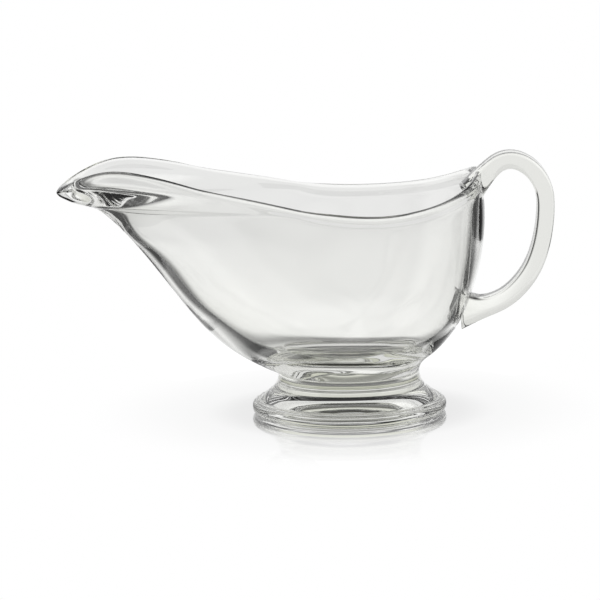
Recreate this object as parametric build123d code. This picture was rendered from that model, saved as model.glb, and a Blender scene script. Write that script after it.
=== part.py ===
from build123d import *
import math
import os

import numpy as np

# Footed glass gravy boat, millimetres.
# Origin: centre of the foot's resting ring, on the table. +Z up, spout towards -X, handle towards +X.
# Three pieces of glass, hot-joined face to face: the bowl with its spout, the foot and the handle.

# ---- driving dimensions -------------------------------------------------------------------------
NECK_HEIGHT = 18.5          # plane where the bowl meets the foot
NECK_RADIUS = 30.7
BEAM_HEIGHT = 92.0          # height at which the bowl's plan shape is fully developed
BEAM_STATION = 14.0         # distance of the widest rim section aft of the foot's axis
BLANK_TOP = 118.0           # the bowl is made this high, then trimmed to the sheer of its rim
FLOOR_HEIGHT = 25.2         # lowest point inside
SECTION_POINTS = 40         # points round each horizontal section of the bowl
SECTION_COUNT = 40          # sections from the neck to the blank's top

FOOT_RADIUS = 42.4
RING_RADIUS = 38.5          # circle on which the foot rests
RING_WIDTH = 4.0
DISH_DEPTH = 3.5            # hollow under the foot

STRAP_CORNER = 0.25         # corner radius of the handle strap, as a share of its thickness
STRAP_SECTIONS = 24         # evenly spaced sections of the strap

# Outer profile of the spout and keel, from the neck to the tip and on up to the blank's top (X, Z).
KEEL = [
    (-NECK_RADIUS, NECK_HEIGHT), (-37.5, 21.3), (-46.5, 25.8), (-55.6, 32.0), (-64.8, 41.0),
    (-73.9, 52.3), (-87.2, 69.8), (-95.8, 80.0), (-103.9, 88.0), (-109.7, 92.0), (-116.1, 93.8),
    (-121.0, 95.4), (-124.4, 97.9), (-125.9, 101.5), (-126.3, 109.0), (-126.3, BLANK_TOP),
]
# Inner profile, from the floor up the spout's channel, which a solid lip carries (X, Z).
CHANNEL = [
    (-20.0, FLOOR_HEIGHT), (-31.0, 26.3), (-39.0, 28.4), (-53.8, 38.6), (-64.5, 48.9),
    (-77.3, 64.6), (-85.8, 73.9), (-91.5, 80.2), (-95.8, 86.8), (-99.0, 92.0), (-104.0, 96.3),
    (-111.0, 99.6), (-117.8, 101.8), (-122.0, 104.3), (-122.9, 109.0), (-122.9, BLANK_TOP + 1),
]
# Aft profile under the handle (Z, X), outside; the aft wall's thickness is taken off it (Z, T).
STERN = [
    (NECK_HEIGHT, NECK_RADIUS), (22.8, 32.8), (27.0, 38.0), (32.8, 43.8), (40.0, 48.9),
    (50.0, 53.2), (60.0, 56.4), (72.0, 58.9), (85.0, 60.0), (95.0, 59.6), (105.0, 57.9),
    (BLANK_TOP + 1, 55.6),
]
STERN_WALL = [
    (FLOOR_HEIGHT, 16.5), (26.6, 10.8), (29.0, 7.6), (33.0, 6.2), (40.0, 5.0), (60.0, 4.6),
    (80.0, 4.2), (95.0, 3.2), (BLANK_TOP + 1, 2.8),
]
# Half-breadth at the widest station (Z, half-breadth), outside and inside.
BEAM = [
    (NECK_HEIGHT, NECK_RADIUS), (22.0, 34.4), (27.0, 37.6), (34.0, 40.4), (45.0, 42.9),
    (60.0, 44.7), (75.0, 45.6), (92.0, 46.0), (BLANK_TOP + 1, 46.0),
]
BEAM_INSIDE = [
    (FLOOR_HEIGHT, 20.0), (26.6, 26.8), (29.0, 31.3), (33.0, 34.8), (45.0, 38.4), (60.0, 40.3),
    (75.0, 41.6), (92.0, 43.1), (BLANK_TOP + 1, 43.2),
]
# Sheer: height of the rim along the boat (X, Z).
SHEER = [
    (-127.5, 99.0), (-116.0, 105.9), (-107.0, 109.6), (-98.0, 110.8), (-88.0, 109.9),
    (-64.0, 104.8), (-37.0, 99.3), (-11.0, 94.5), (12.0, 93.2), (32.0, 95.1), (47.0, 99.5),
    (57.0, 105.7), (62.0, 110.6),
]
# Centre line of the handle (X, Z), from inside the aft wall over the top and down to the lower join.
HANDLE_LINE = [
    (53.5, 95.5), (58.5, 101.6), (62.4, 105.7), (66.2, 108.7), (70.7, 110.0), (75.5, 109.1),
    (80.6, 105.7), (85.7, 97.0), (86.4, 87.0), (84.2, 72.6), (80.0, 61.8), (75.0, 54.9),
    (68.8, 49.5), (62.2, 46.4), (55.5, 45.0), (49.0, 44.6),
]
# Strap thickness and breadth at fractions of the handle's length; both flare onto the bowl.
STRAP_THICKNESS = [
    (0.00, 11.0), (0.06, 9.4), (0.12, 8.0), (0.19, 7.6), (0.30, 7.8), (0.42, 7.8), (0.60, 7.9),
    (0.76, 8.0), (0.86, 8.2), (0.92, 9.6), (0.96, 12.8), (1.00, 17.0),
]
STRAP_BREADTH = [
    (0.00, 16.6), (0.06, 14.6), (0.13, 13.2), (0.24, 13.0), (0.50, 13.0), (0.76, 13.0),
    (0.87, 13.4), (0.93, 15.0), (1.00, 18.0),
]


def cubic(points):
    """A natural cubic spline through (position, value) pairs, as a function of position."""
    at = np.array([p[0] for p in points], float)
    value = np.array([p[1] for p in points], float)
    gap = np.diff(at)
    slope = np.diff(value) / gap
    system = np.eye(len(at))
    right = np.zeros(len(at))
    for i in range(1, len(at) - 1):
        system[i, i - 1:i + 2] = gap[i - 1], 2 * (gap[i - 1] + gap[i]), gap[i]
        right[i] = 6 * (slope[i] - slope[i - 1])
    bend = np.linalg.solve(system, right)

    def evaluate(x):
        i = int(np.clip(np.searchsorted(at, x) - 1, 0, len(gap) - 1))
        a = (at[i + 1] - x) / gap[i]
        b = (x - at[i]) / gap[i]
        curve = ((a ** 3 - a) * bend[i] + (b ** 3 - b) * bend[i + 1]) * gap[i] ** 2 / 6
        return a * value[i] + b * value[i + 1] + curve

    return evaluate


def along(points):
    """A smooth curve through (X, Z) points, as a function of the fraction of its chord length."""
    chords = [math.dist(p, q) for p, q in zip(points, points[1:])]
    length = np.concatenate([[0.0], np.cumsum(chords)]) / sum(chords)
    x_of = cubic([(t, p[0]) for t, p in zip(length, points)])
    z_of = cubic([(t, p[1]) for t, p in zip(length, points)])
    return lambda t: (float(x_of(t)), float(z_of(t)))


def plan_ring(nose, stern, breadth, height):
    """Points round one horizontal section of the bowl, from the stern round by the nose and back."""
    grown = min(max((height - NECK_HEIGHT) / (BEAM_HEIGHT - NECK_HEIGHT), 0.0), 1.0)
    widest = BEAM_STATION * grown
    nose_fullness = 1 - 0.5 * grown * (2 - grown)
    waist = 5.6 * grown ** 2
    ring = []
    for i in range(SECTION_POINTS + 1):
        turn = 2 * math.pi * i / SECTION_POINTS
        reach = math.cos(turn)
        if reach >= 0:
            x = widest + (stern - widest) * reach
            square = 1 - 0.2 * grown * reach ** 2 + 0.7 * grown * reach ** 4
            y = breadth * math.sin(turn) * math.sqrt(square)
        else:
            x = widest - (nose - widest) * reach
            s = 1 + reach
            square = 2 * nose_fullness * s + (3 - 4 * nose_fullness) * s ** 2
            square += (2 * nose_fullness - 2) * s ** 3 - waist * s ** 4 * (1 - s) ** 2
            y = breadth * math.copysign(math.sqrt(max(square, 0.0)), math.sin(turn))
        ring.append(Vector(x, y, height))
    return ring


def bowl_skin(profile, stern_of, breadth_of):
    """A closed solid whose horizontal sections have their noses on the profile."""
    rings = []
    for i in range(SECTION_COUNT + 1):
        nose, height = profile(i / SECTION_COUNT)
        rings.append(plan_ring(nose, stern_of(height), breadth_of(height), height))
    side = Face.make_surface_from_array_of_points(rings, tol=0.02, min_deg=3, max_deg=3)
    rims = side.edges().filter_by(GeomType.BSPLINE).sort_by(Axis.Z)
    lids = [Face(Wire([rims[0]])), Face(Wire([rims[-1]]))]
    return Solid(Shell([side, *lids]))


def make_bowl():
    """The bowl with its spout, and its outside as an untrimmed solid for the handle to meet."""
    stern = cubic(STERN)
    wall = cubic(STERN_WALL)
    outside = bowl_skin(along(KEEL), stern, cubic(BEAM))
    inside = bowl_skin(along(CHANNEL), lambda z: stern(z) - wall(z), cubic(BEAM_INSIDE))
    sheer = Spline(*[(x, 0, z) for x, z in SHEER])
    low, high = sheer @ 0, sheer @ 1
    waste_top = BLANK_TOP + 10
    waste_outline = Wire([
        sheer,
        Line(high, (high.X, 0, waste_top)),
        Line((high.X, 0, waste_top), (low.X, 0, waste_top)),
        Line((low.X, 0, waste_top), low),
    ])
    waste = extrude(Face(waste_outline), amount=80, dir=(0, 1, 0), both=True)
    bowl = outside - inside - waste
    return bowl, outside


def make_foot():
    """The foot: a solid neck on a flange with a rounded edge and a bead, dished underneath."""
    inner_ring = RING_RADIUS - RING_WIDTH / 2
    outer_ring = RING_RADIUS + RING_WIDTH / 2
    dish_edge = inner_ring - 1.5
    profile = Wire([
        ThreePointArc((outer_ring, 0, 0), (FOOT_RADIUS, 0, 2.9), (40.7, 0, 5.3)),
        ThreePointArc((40.7, 0, 5.3), (39.9, 0, 6.0), (38.8, 0, 6.3)),
        Spline(
            (38.8, 0, 6.3), (37.3, 0, 7.6), (34.7, 0, 9.8), (32.3, 0, 12.4), (31.0, 0, 15.4),
            (NECK_RADIUS, 0, NECK_HEIGHT),
        ),
        Line((NECK_RADIUS, 0, NECK_HEIGHT), (0, 0, NECK_HEIGHT)),
        Line((0, 0, NECK_HEIGHT), (0, 0, DISH_DEPTH)),
        ThreePointArc((0, 0, DISH_DEPTH), (dish_edge / 2, 0, 0.85 * DISH_DEPTH), (dish_edge, 0, 1.4)),
        ThreePointArc((dish_edge, 0, 1.4), (inner_ring - 0.8, 0, 0.4), (inner_ring, 0, 0)),
        Line((inner_ring, 0, 0), (outer_ring, 0, 0)),
    ])
    return revolve(Face(profile), axis=Axis.Z)


def make_handle(bowl_outside):
    """The strap handle, cut to meet the outside of the bowl at both ends."""
    line = Spline(*[(x, 0, z) for x, z in HANDLE_LINE])
    thickness_of = cubic(STRAP_THICKNESS)
    breadth_of = cubic(STRAP_BREADTH)
    sections = []
    for i in range(STRAP_SECTIONS + 1):
        fraction = i / STRAP_SECTIONS
        thickness = float(thickness_of(fraction))
        breadth = float(breadth_of(fraction))
        plane = Plane(origin=line @ fraction, x_dir=(0, 1, 0), z_dir=line % fraction)
        sections.append(plane * RectangleRounded(breadth, thickness, STRAP_CORNER * thickness))
    strap = loft(sections)
    return strap - bowl_outside


def main():
    os.makedirs("parts", exist_ok=True)
    bowl, bowl_outside = make_bowl()
    pieces = {"bowl": bowl, "foot": make_foot(), "handle": make_handle(bowl_outside)}
    for name, piece in pieces.items():
        export_step(piece, f"parts/{name}.step")


main()
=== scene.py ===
import math

import bmesh
import bpy
import numpy as np
from mathutils import Matrix, Vector
from mathutils.bvhtree import BVHTree


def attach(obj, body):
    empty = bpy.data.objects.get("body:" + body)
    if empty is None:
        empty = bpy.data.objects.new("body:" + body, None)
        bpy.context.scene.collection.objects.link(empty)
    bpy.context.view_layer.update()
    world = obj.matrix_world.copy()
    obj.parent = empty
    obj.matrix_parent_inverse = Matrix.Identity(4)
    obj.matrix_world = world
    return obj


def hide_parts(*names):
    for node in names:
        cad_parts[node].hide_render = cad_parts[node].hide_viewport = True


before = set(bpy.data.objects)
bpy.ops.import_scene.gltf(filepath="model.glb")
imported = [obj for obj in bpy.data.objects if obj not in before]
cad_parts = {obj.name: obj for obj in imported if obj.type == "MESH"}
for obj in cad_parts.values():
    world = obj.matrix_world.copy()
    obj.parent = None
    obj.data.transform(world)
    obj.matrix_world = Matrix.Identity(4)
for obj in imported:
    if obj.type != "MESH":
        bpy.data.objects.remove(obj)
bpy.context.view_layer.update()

# A clear pressed-glass gravy boat in three hot-joined workings: bowl, foot and handle. The frame's origin
# is at the middle of the foot's resting ring, with +Z up, the spout towards -X and the handle towards +X.
# Shapes are worked out in millimetres; MM turns them into metres.
MM = 0.001

# ---- shape of the bowl --------------------------------------------------------------------------
NECK_HEIGHT = 18.5          # plane where the bowl meets the foot
NECK_RADIUS = 30.7
FLOOR_HEIGHT = 25.2         # lowest point inside
BEAM_HEIGHT = 92.0          # height at which the bowl's plan shape is fully developed
BEAM_STATION = 14.0         # distance of the widest rim section aft of the foot's axis
BLANK_TOP = 118.0           # the walls run up past the rim to this height, and the sheer ends them
NOSE_TAPER = 0.5            # how far the plan narrows from an ellipse towards the spout
NOSE_WAIST = 5.6            # how strongly the plan is drawn in behind the lip
STERN_FLAT = 0.2            # how the plan's stern leaves an ellipse: drawn in first, then filled out
STERN_FULL = 0.7
RIM_ROUND = 2.2             # how far the rounded rim stands above the two walls it closes
BEAD_SWELL = 0.8            # extra thickness of the fire-polished rim on each side
BEAD_REACH = 2.6            # how far down the wall that swelling fades

# Keel: the outside of the spout's end of the bowl in the middle plane (X, Z), from the neck to the lip.
KEEL = [
    (-NECK_RADIUS, NECK_HEIGHT), (-37.5, 21.3), (-46.5, 25.8), (-55.6, 32.0), (-64.8, 41.0),
    (-73.9, 52.3), (-87.2, 69.8), (-95.8, 80.0), (-103.9, 88.0), (-109.7, 92.0), (-116.1, 93.8),
    (-121.0, 95.4), (-124.4, 97.9), (-125.9, 101.5), (-126.3, 109.0), (-126.3, BLANK_TOP),
]
# The same for the inside: from the floor up the spout's channel to the lip.
CHANNEL = [
    (-20.0, FLOOR_HEIGHT), (-31.0, 26.3), (-39.0, 28.4), (-53.8, 38.6), (-64.5, 48.9),
    (-77.3, 64.6), (-85.8, 73.9), (-91.5, 80.2), (-95.8, 86.8), (-99.0, 92.0), (-104.0, 96.3),
    (-111.0, 99.6), (-117.8, 101.8), (-122.0, 104.3), (-122.9, 109.0), (-122.9, BLANK_TOP + 1),
]
# Outside of the aft wall in the middle plane (Z, X), and the wall's thickness (Z, thickness).
STERN = [
    (NECK_HEIGHT, NECK_RADIUS), (22.8, 32.8), (27.0, 38.0), (32.8, 43.8), (40.0, 48.9),
    (50.0, 53.2), (60.0, 56.4), (72.0, 58.9), (85.0, 60.0), (95.0, 59.6), (105.0, 57.9),
    (BLANK_TOP + 1, 55.6),
]
STERN_WALL = [
    (FLOOR_HEIGHT, 16.5), (26.6, 10.8), (29.0, 7.6), (33.0, 6.2), (40.0, 5.0), (60.0, 4.6),
    (80.0, 4.2), (95.0, 3.2), (BLANK_TOP + 1, 2.8),
]
# Half breadth of the bowl at each height (Z, Y), outside and inside.
BEAM = [
    (NECK_HEIGHT, NECK_RADIUS), (22.0, 34.4), (27.0, 37.6), (34.0, 40.4), (45.0, 42.9),
    (60.0, 44.7), (75.0, 45.6), (92.0, 46.0), (BLANK_TOP + 1, 46.0),
]
BEAM_INSIDE = [
    (FLOOR_HEIGHT, 20.0), (26.6, 26.8), (29.0, 31.3), (33.0, 34.8), (45.0, 38.4), (60.0, 40.3),
    (75.0, 41.6), (92.0, 43.1), (BLANK_TOP + 1, 43.2),
]
# Sheer: height of the rim along the boat (X, Z).
SHEER = [
    (-127.5, 99.0), (-116.0, 105.9), (-107.0, 109.6), (-98.0, 110.8), (-88.0, 109.9),
    (-64.0, 104.8), (-37.0, 99.3), (-11.0, 94.5), (12.0, 93.2), (32.0, 95.1), (47.0, 99.5),
    (57.0, 105.7), (62.0, 110.6),
]


def cubic(points):
    """A natural cubic spline through (position, value) pairs, as a function of an array of positions."""
    at = np.array([p[0] for p in points], float)
    value = np.array([p[1] for p in points], float)
    gap = np.diff(at)
    slope = np.diff(value) / gap
    system = np.eye(len(at))
    right = np.zeros(len(at))
    for i in range(1, len(at) - 1):
        system[i, i - 1:i + 2] = gap[i - 1], 2 * (gap[i - 1] + gap[i]), gap[i]
        right[i] = 6 * (slope[i] - slope[i - 1])
    bend = np.linalg.solve(system, right)

    def evaluate(x):
        x = np.asarray(x, float)
        i = np.clip(np.searchsorted(at, x) - 1, 0, len(gap) - 1)
        a = (at[i + 1] - x) / gap[i]
        b = (x - at[i]) / gap[i]
        curve = ((a ** 3 - a) * bend[i] + (b ** 3 - b) * bend[i + 1]) * gap[i] ** 2 / 6
        return a * value[i] + b * value[i + 1] + curve

    return evaluate


def along(points):
    """A smooth curve through 2-D points, as two functions of the fraction of its chord length."""
    chords = [math.dist(p, q) for p, q in zip(points, points[1:])]
    length = np.concatenate([[0.0], np.cumsum(chords)]) / sum(chords)
    first = cubic([(t, p[0]) for t, p in zip(length, points)])
    second = cubic([(t, p[1]) for t, p in zip(length, points)])
    return first, second


def plan(turn, nose, stern, breadth, height):
    """Points of horizontal sections of the bowl at turns from the stern (0) round by the nose (pi)."""
    grown = np.clip((height - NECK_HEIGHT) / (BEAM_HEIGHT - NECK_HEIGHT), 0.0, 1.0)
    widest = BEAM_STATION * grown
    nose_fullness = 1 - NOSE_TAPER * grown * (2 - grown)
    waist = NOSE_WAIST * grown ** 2
    reach = np.cos(turn)
    aft = 1 - STERN_FLAT * grown * reach ** 2 + STERN_FULL * grown * reach ** 4
    s = 1 + reach
    fore = 2 * nose_fullness + (3 - 4 * nose_fullness) * s
    fore = fore + (2 * nose_fullness - 2) * s ** 2 - waist * s ** 3 * (1 - s) ** 2
    # s = 1 + cos(turn) is sin(turn)^2 / (1 - cos(turn)), so the nose stays round and smooth
    fore = fore / np.maximum(1 - reach, 1.0)
    x = np.where(reach >= 0, widest + (stern - widest) * reach, widest - (nose - widest) * reach)
    y = breadth * np.sin(turn) * np.sqrt(np.where(reach >= 0, aft, fore))
    return x, y


class Skin:
    """One face of the bowl's wall: a family of horizontal sections whose noses lie on a profile."""

    def __init__(self, profile, stern, breadth):
        self.nose, self.height = along(profile)
        self.stern = stern
        self.breadth = cubic(breadth)

    def points(self, t, turn):
        height = self.height(t)
        x, y = plan(turn, self.nose(t), self.stern(height), self.breadth(height), height)
        return np.stack([x, y, height + 0 * x], -1)

    def top(self, turn, sheer):
        """Where each meridian reaches the underside of the rounded rim."""
        low, high = (np.full(turn.shape, limit) for limit in TOP_RANGE)
        for _ in range(HALVINGS):
            middle = (low + high) / 2
            p = self.points(middle, turn)
            under = p[..., 2] < sheer(p[..., 0]) - RIM_ROUND
            low, high = np.where(under, middle, low), np.where(under, high, middle)
        return (low + high) / 2


# ---- mesh helpers -------------------------------------------------------------------------------
GLASS, JOINT, STRAP = 0, 1, 2           # material index of each face; STRAP only until the strap is cut
TURNS = 360                             # points round the bowl and the foot


def mesh_object(name, vertices, faces, material_indices=None):
    """A new smooth-shaded object from points in metres."""
    mesh = bpy.data.meshes.new(name)
    mesh.from_pydata([tuple(v) for v in vertices], [], faces)
    mesh.validate()
    if material_indices is not None:
        mesh.polygons.foreach_set("material_index", material_indices)
    mesh.shade_smooth()
    mesh.update()
    piece = bpy.data.objects.new(name, mesh)
    bpy.context.scene.collection.objects.link(piece)
    return piece


def tube_faces(rows, count):
    """Quads between rings of points, row after row, each ring closed on itself."""
    faces = []
    for i in range(rows - 1):
        for j in range(count):
            k = (j + 1) % count
            faces.append((i * count + j, i * count + k, (i + 1) * count + k, (i + 1) * count + j))
    return faces


def fan_faces(last, tip):
    """Triangles from the last ring, which starts at point number last, to one point that closes it."""
    return [(last + j, last + (j + 1) % TURNS, tip) for j in range(TURNS)]


def unit(vectors):
    return vectors / np.linalg.norm(vectors, axis=-1, keepdims=True)


# ---- bowl ---------------------------------------------------------------------------------------
OUTER_ROWS = 118
INNER_ROWS = 104
RIM_ROWS = 14
FLOOR_ROWS = 12
END_BIAS = 0.4              # how much closer together the rows lie towards the rim
TOP_RANGE = (0.3, 0.999)    # part of a profile's length in which the walls reach the rim
HALVINGS = 40               # of that range, to find where
RIM_STEP = 1e-3             # step along the profile that gives the wall's direction at the rim


def closer_to_the_end(count):
    """Fractions from 0 to 1, spaced more closely towards 1."""
    f = np.linspace(0, 1, count)
    return (1 - END_BIAS) * f + END_BIAS * np.sin(f * math.pi / 2)


def bowl_mesh():
    """The bowl as one closed surface: up the outside, over the rounded rim and down the inside."""
    stern = cubic(STERN)
    wall = cubic(STERN_WALL)
    sheer = cubic(SHEER)
    outer = Skin(KEEL, stern, BEAM)
    inner = Skin(CHANNEL, lambda z: stern(z) - wall(z), BEAM_INSIDE)
    turn = np.arange(TURNS) * 2 * math.pi / TURNS
    outer_top = outer.top(turn, sheer)
    inner_top = inner.top(turn, sheer)
    outer_edge = outer.points(outer_top, turn)
    inner_edge = inner.points(inner_top, turn)
    outward = unit(outer_edge - inner_edge)

    def swollen(points, edge, side):
        below = np.linalg.norm(points - edge, axis=1, keepdims=True)
        return points + side * outward * BEAD_SWELL * np.exp(-(below / BEAD_REACH) ** 2)

    rings = []
    for f in closer_to_the_end(OUTER_ROWS):
        rings.append(swollen(outer.points(f * outer_top, turn), outer_edge, 1))

    outer_up = unit(outer_edge - outer.points(outer_top - RIM_STEP, turn))
    inner_up = unit(inner_edge - inner.points(inner_top - RIM_STEP, turn))
    start = swollen(outer_edge, outer_edge, 1)
    end = swollen(inner_edge, inner_edge, -1)
    middle, half = (start + end) / 2, (start - end) / 2
    rise = np.minimum(np.linalg.norm(half, axis=1, keepdims=True), RIM_ROUND) * unit(outer_up + inner_up)
    for angle in np.linspace(0, math.pi, RIM_ROWS + 1)[1:-1]:
        rings.append(middle + half * math.cos(angle) + rise * math.sin(angle))

    for f in closer_to_the_end(INNER_ROWS)[::-1]:
        rings.append(swollen(inner.points(f * inner_top, turn), inner_edge, -1))
    floor_ring = rings[-1]
    centre = floor_ring.mean(0)
    for f in np.linspace(1, 0, FLOOR_ROWS + 1)[1:-1]:
        rings.append(centre + (floor_ring - centre) * f)

    vertices = np.vstack(rings + [centre])
    faces = tube_faces(len(rings), TURNS) + fan_faces((len(rings) - 1) * TURNS, len(vertices) - 1)
    indices = [GLASS] * len(faces)
    faces.append(tuple(reversed(range(TURNS))))
    indices.append(JOINT)
    return mesh_object("bowl_glass", vertices * MM, faces, indices)


# ---- foot ---------------------------------------------------------------------------------------
# Radius and height of the foot's outside, from the neck down to the bead.
FOOT_WAIST = [
    (NECK_RADIUS, NECK_HEIGHT), (31.0, 15.4), (32.3, 12.4), (34.7, 9.8), (37.3, 7.6), (38.75, 6.35),
]
WAIST_ROWS = 34
# Elliptic arcs of the profile: centre, radii, first and last angle in degrees, number of points.
FOOT_BEAD = ((39.1, 5.1), (1.6, 1.15), 100, 10, 10)
FLANGE_EDGE = ((40.0, 2.9), (2.4, 2.85), 52, -78, 22)
RING_INSIDE = ((36.6, 1.4), (1.2, 1.35), -60, -150, 10)
RESTING_RING = [(39.2, 0.0), (38.0, 0.0), (37.2, 0.06)]
DISH_RADIUS = 35.2
DISH_EDGE = 1.2             # height of the dish under the foot at its edge and in the middle
DISH_DEPTH = 3.5
DISH_ROWS = 26


def arc(centre, radii, start, stop, count):
    angles = np.radians(np.linspace(start, stop, count))
    return [(centre[0] + radii[0] * math.cos(a), centre[1] + radii[1] * math.sin(a)) for a in angles]


def foot_mesh():
    """The foot: neck, bead, rounded flange and dished underside, turned about the Z axis."""
    radius, height = along(FOOT_WAIST)
    profile = [(float(radius(t)), float(height(t))) for t in np.linspace(0, 1, WAIST_ROWS)]
    profile += arc(*FOOT_BEAD) + arc(*FLANGE_EDGE) + RESTING_RING + arc(*RING_INSIDE)
    for f in np.linspace(0, 1, DISH_ROWS)[1:-1]:
        profile.append((DISH_RADIUS * (1 - f), DISH_EDGE + (DISH_DEPTH - DISH_EDGE) * (1 - (1 - f) ** 2)))

    turn = np.arange(TURNS) * 2 * math.pi / TURNS
    rings = [np.stack([r * np.cos(turn), r * np.sin(turn), 0 * turn + z], -1) for r, z in profile]
    vertices = np.vstack(rings + [[0, 0, DISH_DEPTH]])
    faces = tube_faces(len(rings), TURNS) + fan_faces((len(rings) - 1) * TURNS, len(vertices) - 1)
    faces = [tuple(reversed(f)) for f in faces]
    indices = [GLASS] * len(faces)
    faces.append(tuple(range(TURNS)))
    indices.append(JOINT)
    return mesh_object("turned_foot", vertices * MM, faces, indices)


# ---- handle -------------------------------------------------------------------------------------
# Centre line of the handle (X, Z), from inside the aft wall over the top and down to the lower join.
HANDLE_LINE = [
    (53.5, 95.5), (58.5, 101.6), (62.4, 105.7), (66.2, 108.7), (70.7, 110.0), (75.5, 109.1),
    (80.6, 105.7), (85.7, 97.0), (86.4, 87.0), (84.2, 72.6), (80.0, 61.8), (75.0, 54.9),
    (68.8, 49.5), (62.2, 46.4), (55.5, 45.0), (49.0, 44.6),
]
# Strap thickness and breadth at fractions of the handle's length; both flare onto the bowl.
STRAP_THICKNESS = [
    (0.00, 11.0), (0.06, 9.4), (0.12, 8.0), (0.19, 7.6), (0.30, 7.8), (0.42, 7.8), (0.60, 7.9),
    (0.76, 8.0), (0.86, 8.2), (0.92, 9.6), (0.96, 12.8), (1.00, 17.0),
]
STRAP_BREADTH = [
    (0.00, 16.6), (0.06, 14.6), (0.13, 13.2), (0.24, 13.0), (0.50, 13.0), (0.76, 13.0),
    (0.87, 13.4), (0.93, 15.0), (1.00, 18.0),
]
STRAP_ROWS = 200
STRAP_ROUND = 56
STRAP_POWER = 5.0           # of the strap's superelliptic section: flat faces with round edges
LINE_STEP = 1e-4            # step along the centre line that gives its direction


def strap_mesh():
    """The handle's strap before it is cut to the bowl, with both ends inside the aft wall."""
    x_of, z_of = along(HANDLE_LINE)
    thickness, breadth = cubic(STRAP_THICKNESS), cubic(STRAP_BREADTH)
    around = np.arange(STRAP_ROUND) * 2 * math.pi / STRAP_ROUND
    across = np.sign(np.cos(around)) * np.abs(np.cos(around)) ** (2 / STRAP_POWER)
    through = np.sign(np.sin(around)) * np.abs(np.sin(around)) ** (2 / STRAP_POWER)
    rings = []
    for t in np.linspace(0, 1, STRAP_ROWS):
        before, after = t - LINE_STEP, t + LINE_STEP
        tangent = unit(np.array([x_of(after) - x_of(before), z_of(after) - z_of(before)]))
        x = x_of(t) - tangent[1] * through * thickness(t) / 2
        z = z_of(t) + tangent[0] * through * thickness(t) / 2
        rings.append(np.stack([x, across * breadth(t) / 2, z], -1))
    faces = tube_faces(STRAP_ROWS, STRAP_ROUND)
    last = (STRAP_ROWS - 1) * STRAP_ROUND
    faces.append(tuple(reversed(range(STRAP_ROUND))))
    faces.append(tuple(last + j for j in range(STRAP_ROUND)))
    return mesh_object("strap", np.vstack(rings) * MM, faces, [STRAP] * len(faces))


# ---- joining ------------------------------------------------------------------------------------
WELD = 2e-7                 # metres within which points are merged
TOUCHING = 1e-9             # metres within which a point counts as a corner


def boolean(target, tool, operation):
    """The exact boolean of two closed meshes as a new mesh; faces keep their material index."""
    work = target.copy()
    work.data = target.data.copy()
    bpy.context.scene.collection.objects.link(work)
    modifier = work.modifiers.new("cut", "BOOLEAN")
    modifier.operation = operation
    modifier.solver = "EXACT"
    modifier.material_mode = "INDEX"
    modifier.object = tool
    graph = bpy.context.evaluated_depsgraph_get()
    result = bpy.data.meshes.new_from_object(work.evaluated_get(graph), depsgraph=graph)
    bpy.data.objects.remove(work)
    return result


def gather(name, parts):
    """A new piece from chosen faces of several meshes: each part is (mesh, {old index: new}, flip)."""
    bm = bmesh.new()
    for mesh, kept, flip in parts:
        part = bmesh.new()
        part.from_mesh(mesh)
        dropped = [f for f in part.faces if f.material_index not in kept]
        bmesh.ops.delete(part, geom=dropped, context="FACES")
        for face in part.faces:
            face.material_index = kept[face.material_index]
            face.smooth = True
        if flip:
            bmesh.ops.reverse_faces(part, faces=part.faces)
        scratch = bpy.data.meshes.new("scratch")
        part.to_mesh(scratch)
        part.free()
        bm.from_mesh(scratch)
        bpy.data.meshes.remove(scratch)
    bmesh.ops.remove_doubles(bm, verts=bm.verts, dist=WELD)
    mesh = bpy.data.meshes.new(name)
    bm.to_mesh(mesh)
    open_edges = sum(1 for e in bm.edges if not e.is_manifold)
    bm.free()
    print(name, "faces", len(mesh.polygons), "open or odd edges", open_edges)
    piece = bpy.data.objects.new(name, mesh)
    bpy.context.scene.collection.objects.link(piece)
    return piece


def blended_normal(point, tree, data, vertex_normals):
    """The source's smooth normal at a point, weighed between the corners of the nearest face."""
    place, _, index, _ = tree.find_nearest(point)
    blend = Vector((0, 0, 0))
    for v in data.polygons[index].vertices:
        gap = (data.vertices[v].co - place).length
        if gap < TOUCHING:
            return vertex_normals[v]
        blend += vertex_normals[v] / gap ** 2
    return blend.normalized()


def copy_normals(piece, source):
    """Give the piece's glass faces the smooth normals of the surface that they were cut from."""
    data = source.data
    tree = BVHTree.FromObject(source, bpy.context.evaluated_depsgraph_get())
    mesh = piece.data
    normals = [None] * len(mesh.loops)
    vertex_normals = [v.normal.copy() for v in data.vertices]
    known = {}
    for face in mesh.polygons:
        if face.material_index == JOINT:
            for i in face.loop_indices:
                normals[i] = face.normal.copy()
            continue
        for i in face.loop_indices:
            v = mesh.loops[i].vertex_index
            if v not in known:
                known[v] = blended_normal(mesh.vertices[v].co, tree, data, vertex_normals)
            normals[i] = known[v]
    mesh.normals_split_custom_set(normals)


bowl_whole = bowl_mesh()
foot = foot_mesh()
strap = strap_mesh()
joined = boolean(bowl_whole, strap, "UNION")
shared = boolean(bowl_whole, strap, "INTERSECT")
bowl = gather("gravy_bowl", [
    (joined, {GLASS: GLASS, JOINT: JOINT}, False),
    (shared, {GLASS: JOINT}, False),
])
handle = gather("strap_handle", [
    (joined, {STRAP: GLASS}, False),
    (shared, {GLASS: JOINT}, True),
])
copy_normals(bowl, bowl_whole)
copy_normals(handle, strap)
for spare in (bowl_whole, strap):
    bpy.data.objects.remove(spare)


# ---- node helpers -------------------------------------------------------------------------------
def material(name):
    """A new material with an empty node tree, and that tree."""
    made = bpy.data.materials.new(name)
    made.use_nodes = True
    made.node_tree.nodes.clear()
    return made, made.node_tree


def link(tree, source, target):
    tree.links.new(source, target)


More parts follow.
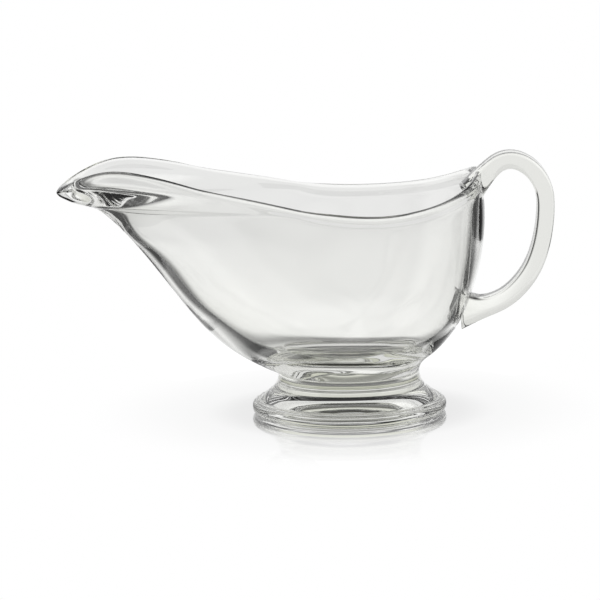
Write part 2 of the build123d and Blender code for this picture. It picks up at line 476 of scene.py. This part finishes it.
def value_node(tree, operation, first, second=None):
    """A math node's output; each input is a number or another node's output."""
    node = tree.nodes.new("ShaderNodeMath")
    node.operation = operation
    for socket, entry in zip(node.inputs, (first, second)):
        if entry is None:
            continue
        if isinstance(entry, (int, float)):
            socket.default_value = entry
        else:
            link(tree, entry, socket)
    return node.outputs[0]


def coordinates(tree, output):
    """X, Y and Z of one of the texture coordinates."""
    place = tree.nodes.new("ShaderNodeTexCoord")
    split = tree.nodes.new("ShaderNodeSeparateXYZ")
    link(tree, place.outputs[output], split.inputs["Vector"])
    return [split.outputs[axis] for axis in "XYZ"]


def fade(tree, value, start, stop, first, last):
    """A smooth step over a value: first up to start, last from stop on."""
    node = tree.nodes.new("ShaderNodeMapRange")
    node.interpolation_type = "SMOOTHSTEP"
    for name, number in zip(("From Min", "From Max", "To Min", "To Max"), (start, stop, first, last)):
        node.inputs[name].default_value = number
    link(tree, value, node.inputs["Value"])
    return node.outputs["Result"]


def rising(tree, value, start, stop):
    return fade(tree, value, start, stop, 0.0, 1.0)


def falling(tree, value, start, stop):
    return fade(tree, value, start, stop, 1.0, 0.0)


def window(tree, value, rise_start, rise_stop, fall_start, fall_stop):
    """0..1 over a value: up between the first two numbers, down between the last two."""
    return value_node(tree, "MULTIPLY", rising(tree, value, rise_start, rise_stop),
                      falling(tree, value, fall_start, fall_stop))


def total(tree, base, layers):
    """base plus each (strength, window, window ...) layer."""
    tone = base
    for strength, *windows in layers:
        layer = strength
        for window in windows:
            layer = value_node(tree, "MULTIPLY", layer, window)
        tone = value_node(tree, "ADD", tone, layer)
    return tone


# ---- glass --------------------------------------------------------------------------------------
CLEAR_GLASS = (0.968, 0.969, 0.966)     # colour of thin glass; each face lets its square root through
DEEP_GLASS = (0.70, 0.72, 0.56)         # share of that left after TINT_DEPTH metres inside the glass
TINT_DEPTH = 0.05
REFRACTION = 1.5
WAVE_SCALE = 45.0                       # the faint waviness of worked glass
WAVE_DETAIL = 1.5
WAVE_STRENGTH = 0.03
WAVE_DISTANCE = 0.002


def glass_material():
    made, tree = material("pressed_glass")
    n = tree.nodes
    output = n.new("ShaderNodeOutputMaterial")
    shader = n.new("ShaderNodeBsdfPrincipled")
    inside = n.new("ShaderNodeNewGeometry").outputs["Backfacing"]
    length = n.new("ShaderNodeLightPath").outputs["Ray Length"]
    depth = value_node(tree, "MULTIPLY", value_node(tree, "DIVIDE", length, TINT_DEPTH), inside)
    tint = n.new("ShaderNodeCombineColor")
    for channel, clear, deep in zip(("Red", "Green", "Blue"), CLEAR_GLASS, DEEP_GLASS):
        kept = value_node(tree, "MULTIPLY", value_node(tree, "POWER", deep, depth), clear)
        link(tree, kept, tint.inputs[channel])
    link(tree, tint.outputs["Color"], shader.inputs["Base Color"])
    shader.inputs["Transmission Weight"].default_value = 1.0
    shader.inputs["IOR"].default_value = REFRACTION
    shader.inputs["Roughness"].default_value = 0.0
    place = n.new("ShaderNodeTexCoord")
    wave = n.new("ShaderNodeTexNoise")
    wave.inputs["Scale"].default_value = WAVE_SCALE
    wave.inputs["Detail"].default_value = WAVE_DETAIL
    bump = n.new("ShaderNodeBump")
    bump.inputs["Strength"].default_value = WAVE_STRENGTH
    bump.inputs["Distance"].default_value = WAVE_DISTANCE
    link(tree, place.outputs["Object"], wave.inputs["Vector"])
    link(tree, wave.outputs["Fac"], bump.inputs["Height"])
    link(tree, bump.outputs["Normal"], shader.inputs["Normal"])
    link(tree, shader.outputs["BSDF"], output.inputs["Surface"])
    return made


def joint_material():
    """For the faces where two pieces are fused: light goes straight through."""
    made, tree = material("fused_joint")
    output = tree.nodes.new("ShaderNodeOutputMaterial")
    clear = tree.nodes.new("ShaderNodeBsdfTransparent")
    link(tree, clear.outputs["BSDF"], output.inputs["Surface"])
    return made


glass = glass_material()
fused = joint_material()
for piece, node in ((bowl, "bowl"), (foot, "foot"), (handle, "handle")):
    piece.data.materials.append(glass)
    piece.data.materials.append(fused)
    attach(piece, "root")
    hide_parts(node)


# ---- studio light -------------------------------------------------------------------------------
# Directions are degrees away from straight behind the object, or above the horizon; each light fades
# between two numbers.
STUDIO_DARK = 0.05          # tone of the unlit gaps
WALL_EDGE = (18, 28)
SIDE_EDGES = (62, 74, 118, 130)
FRONT_EDGE = (132, 145)


def angle_from_behind(tree, x, y):
    turn = value_node(tree, "ABSOLUTE", value_node(tree, "ARCTAN2", x, y))
    return value_node(tree, "DEGREES", turn)


def lit_by_direction(tree, turn, wall, sides, front):
    """The white wall behind, a dark gap, a soft box each side and the front, as (tone, window ...) each."""
    return total(tree, STUDIO_DARK, [
        (wall[0], falling(tree, turn, *WALL_EDGE), *wall[1:]),
        (sides[0], window(tree, turn, *SIDE_EDGES), *sides[1:]),
        (front[0], rising(tree, turn, *FRONT_EDGE), *front[1:]),
    ])


def direct_white(tree, tone, mirrored=None):
    """White where the stage is seen directly, at least mirrored in a reflection, and else its tone."""
    path = tree.nodes.new("ShaderNodeLightPath")
    tone = value_node(tree, "MAXIMUM", tone, path.outputs["Is Camera Ray"])
    if mirrored is not None:
        mirrored = value_node(tree, "MULTIPLY", mirrored, path.outputs["Is Glossy Ray"])
        tone = value_node(tree, "MAXIMUM", tone, mirrored)
    return tone


# ---- floor --------------------------------------------------------------------------------------
# Distances are metres from the foot's axis. The tones are the floor's glow as the glass sees it: painted
# light and shade.
FLOOR_SIZE = 8.0
FLOOR_DROP = 0.00003        # how far the floor lies under the foot, so that they do not coincide
PAINTED_LIGHT_CENTRE = 0.15         # the painted light's directions on the floor start this far in front of the axis
PAINTED_SHADOW_UNDER_FOOT = 0.04          # painted shadow under the foot and round it, out to the next two distances
PAINTED_SHADOW_EDGES = (0.055, 0.11)
PAINTED_LIGHT_RING = 0.9            # painted pool of light, standing for the light that the glass gathers under the foot's edge
RING_EDGES = (0.026, 0.032, 0.046, 0.056)
# painted falloff: the floor's glow dims from near the foot to far off
PAINTED_FALLOFF_NEAR = 0.97
PAINTED_FALLOFF_FAR = 0.8
FAR_EDGE = (0.15, 0.4)
PAINTED_SHADE_SIDES = 0.7           # share of those painted tones out to the sides, and in front: painted shade
PAINTED_SHADE_FRONT = 0.5
SHINE_CLOSE = 0.5           # how much the floor mirrors the foot, beside it and further off
CLOSE_EDGE = (0.044, 0.066)
SHINE_WIDE = 0.35
WIDE_EDGE = (0.05, 0.12)
SHINE_BLUR = 0.06


def floor_material():
    made, tree = material("pale_floor_painted_light_and_shade")
    n = tree.nodes
    output = n.new("ShaderNodeOutputMaterial")
    x, y, _ = coordinates(tree, "Object")
    far = value_node(tree, "SQRT", value_node(tree, "ADD", value_node(tree, "MULTIPLY", x, x),
                                              value_node(tree, "MULTIPLY", y, y)))
    turn = angle_from_behind(tree, x, value_node(tree, "ADD", y, PAINTED_LIGHT_CENTRE))
    # painted light on the floor: brightest behind, dimmer to the sides and in front
    lit = lit_by_direction(tree, turn, (1.0,), (PAINTED_SHADE_SIDES,), (PAINTED_SHADE_FRONT,))
    level = total(tree, PAINTED_FALLOFF_NEAR, [(PAINTED_FALLOFF_FAR - PAINTED_FALLOFF_NEAR, rising(tree, far, *FAR_EDGE))])
    # painted shadow under and round the foot, then a painted pool of light under its edge
    tone = total(tree, PAINTED_SHADOW_UNDER_FOOT, [
        (level, rising(tree, far, *PAINTED_SHADOW_EDGES), lit),
        (PAINTED_LIGHT_RING, window(tree, far, *RING_EDGES)),
    ])
    emission = n.new("ShaderNodeEmission")
    link(tree, direct_white(tree, tone), emission.inputs["Strength"])
    gloss = n.new("ShaderNodeBsdfGlossy")
    gloss.inputs["Color"].default_value = (1, 1, 1, 1)
    gloss.inputs["Roughness"].default_value = SHINE_BLUR
    mix = n.new("ShaderNodeMixShader")
    shine = total(tree, 0.0, [
        (SHINE_CLOSE, falling(tree, far, *CLOSE_EDGE)),
        (SHINE_WIDE, falling(tree, far, *WIDE_EDGE)),
    ])
    link(tree, shine, mix.inputs["Fac"])
    link(tree, emission.outputs["Emission"], mix.inputs[1])
    link(tree, gloss.outputs["BSDF"], mix.inputs[2])
    link(tree, mix.outputs["Shader"], output.inputs["Surface"])
    return made


half = FLOOR_SIZE / 2
floor = mesh_object("floor", [(-half, -half, 0), (half, -half, 0), (half, half, 0), (-half, half, 0)],
                    [(0, 1, 2, 3)])
floor.location.z = -FLOOR_DROP
floor.data.materials.append(floor_material())


# ---- world --------------------------------------------------------------------------------------
WALL_TONE = 0.86
WALL_TOP = (33, 42)
SIDE_TONE = 1.3
SIDE_TOP = (50, 62)
FRONT_TONE = 0.4
FRONT_TOP = (25, 40)
MIRROR_EDGE = (50, 70)      # the wall as polished surfaces mirror it is wider


def make_world():
    """Plain studio light by direction: a white wall behind, a soft box on each side, a dim front and top."""
    world = bpy.data.worlds.new("studio")
    world.use_nodes = True
    tree = world.node_tree
    n = tree.nodes
    n.clear()
    output = n.new("ShaderNodeOutputWorld")
    back = n.new("ShaderNodeBackground")
    x, y, z = coordinates(tree, "Generated")
    turn = angle_from_behind(tree, x, y)
    rise = value_node(tree, "DEGREES", value_node(tree, "ARCSINE", z))
    tone = lit_by_direction(tree, turn,
                            (WALL_TONE, falling(tree, rise, *WALL_TOP)),
                            (SIDE_TONE, falling(tree, rise, *SIDE_TOP)),
                            (FRONT_TONE, falling(tree, rise, *FRONT_TOP)))
    mirrored = value_node(tree, "MULTIPLY", falling(tree, turn, *MIRROR_EDGE),
                          falling(tree, rise, *WALL_TOP))
    link(tree, direct_white(tree, tone, mirrored), back.inputs["Strength"])
    link(tree, back.outputs["Background"], output.inputs["Surface"])
    bpy.context.scene.world = world


make_world()


# ---- camera and render settings -----------------------------------------------------------------
CAMERA_TARGET = Vector((-0.0209, 0.0, 0.0495))
CAMERA_DISTANCE = 2.2
CAMERA_RISE = math.radians(10.4)
CAMERA_ROLL = math.radians(1.0)
CAMERA_LENS = 302.7         # millimetres
SENSOR_WIDTH = 36.0
CAMERA_REACH = 50.0
GLASS_BOUNCES = 32
GLOSSY_BOUNCES = 12

camera_data = bpy.data.cameras.new("camera")
camera_data.lens = CAMERA_LENS
camera_data.sensor_width = SENSOR_WIDTH
camera_data.clip_end = CAMERA_REACH
camera = bpy.data.objects.new("camera", camera_data)
scene = bpy.context.scene
scene.collection.objects.link(camera)
backward = Vector((0, -math.cos(CAMERA_RISE), math.sin(CAMERA_RISE)))
level_right = Vector((1, 0, 0))
level_up = backward.cross(level_right)
right = level_right * math.cos(CAMERA_ROLL) - level_up * math.sin(CAMERA_ROLL)
up = level_right * math.sin(CAMERA_ROLL) + level_up * math.cos(CAMERA_ROLL)
rotation = Matrix((right, up, backward)).transposed()
camera.matrix_world = Matrix.Translation(CAMERA_TARGET + backward * CAMERA_DISTANCE) @ rotation.to_4x4()
scene.camera = camera

scene.view_settings.view_transform = "Standard"
scene.cycles.max_bounces = GLASS_BOUNCES
scene.cycles.transmission_bounces = GLASS_BOUNCES
scene.cycles.transparent_max_bounces = GLASS_BOUNCES
scene.cycles.glossy_bounces = GLOSSY_BOUNCES
scene.cycles.use_denoising = True
